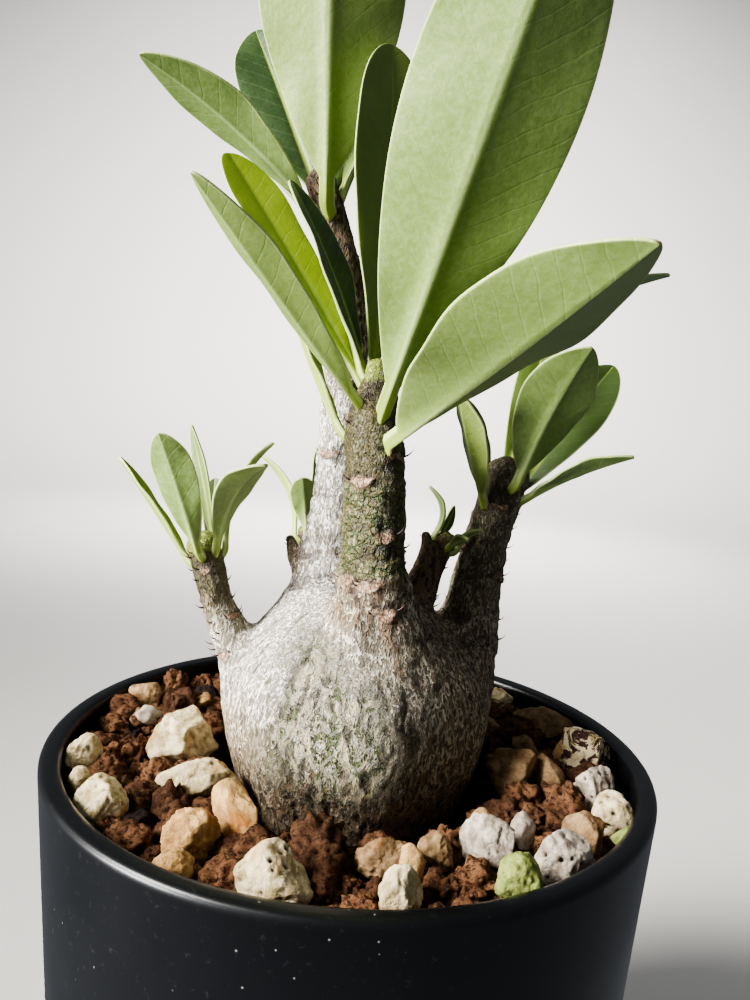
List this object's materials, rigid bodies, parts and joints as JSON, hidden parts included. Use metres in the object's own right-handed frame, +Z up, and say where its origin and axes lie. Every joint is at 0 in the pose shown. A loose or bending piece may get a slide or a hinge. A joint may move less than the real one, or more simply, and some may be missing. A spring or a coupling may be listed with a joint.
{
  "type": "potted desert rose adenium",
  "caption": "Desert rose plant with a swollen grey caudex, bristly stems and leathery leaves, in gravel-dressed soil in a plain round black plastic pot.",
  "frame": {"origin": "centre of the pot's flat underside", "axes": "+Z up along the pot's axis; the two largest leaves lean towards -Y, the side that the picture shows; the pair of side stems lies along X"},
  "size_m": [0.09, 0.0992, 0.2031],
  "materials": {
    "black_plastic": "matte black with a faint blue-grey sheen and dust",
    "clay_grit": "dry rust-brown baked clay crumbs",
    "bark": "whitish-grey flaking bark over green",
    "leaf": "leathery, satin; deep green above, pale grey-green below",
    "cream_stone": "rough and porous",
    "ochre_stone": "rough and porous",
    "tan_stone": "rough",
    "grey_stone": "rough",
    "green_stone": "rough and porous"
  },
  "bodies": {
    "root": {"pot": "black_plastic", "soil": "clay_grit", "plant_body": "bark", "stone_cream_wedge": "cream_stone", "stone_ochre_long": "cream_stone", "stone_ochre_shard": "ochre_stone", "stone_tan_round": "ochre_stone", "stone_tan_wedge": "ochre_stone", "stone_pumice_pitted": "cream_stone", "stone_green_cream": "cream_stone", "stone_cream_small": "cream_stone", "stone_cream_block": "cream_stone", "stone_tan_back": "tan_stone", "stone_tan_block": "tan_stone", "stone_tan_long": "tan_stone", "stone_cream_back": "cream_stone", "stone_tan_oval": "tan_stone", "stone_stained_block": "cream_stone", "stone_grey_rose": "grey_stone", "stone_cream_edge": "cream_stone", "stone_tan_edge": "tan_stone", "stone_rose_pumice": "grey_stone", "stone_green_stone": "green_stone", "stone_white_flake": "grey_stone", "stone_tan_flank": "tan_stone", "stone_tan_pair": "tan_stone", "stone_white_tooth": "cream_stone", "leaf_front_1": "leaf", "leaf_front_2": "leaf", "leaf_front_3": "leaf", "leaf_front_4": "leaf", "leaf_front_5": "leaf", "leaf_front_6": "leaf", "leaf_front_7": "leaf", "leaf_front_8": "leaf", "leaf_trunk_1": "leaf", "leaf_trunk_2": "leaf", "leaf_trunk_3": "leaf", "leaf_trunk_4": "leaf", "leaf_trunk_5": "leaf", "leaf_trunk_6": "leaf", "leaf_left_1": "leaf", "leaf_left_2": "leaf", "leaf_left_3": "leaf", "leaf_left_4": "leaf", "leaf_left_5": "leaf", "leaf_left_6": "leaf", "leaf_sprout_1": "leaf", "leaf_sprout_2": "leaf", "leaf_sprout_3": "leaf", "leaf_right_1": "leaf", "leaf_right_2": "leaf", "leaf_right_3": "leaf", "leaf_right_4": "leaf", "leaf_right_5": "leaf", "leaf_right_6": "leaf", "leaf_bud_1": "leaf", "leaf_bud_2": "leaf", "leaf_bud_3": "leaf", "leaf_bud_4": "leaf"}
  },
  "joints": []
}
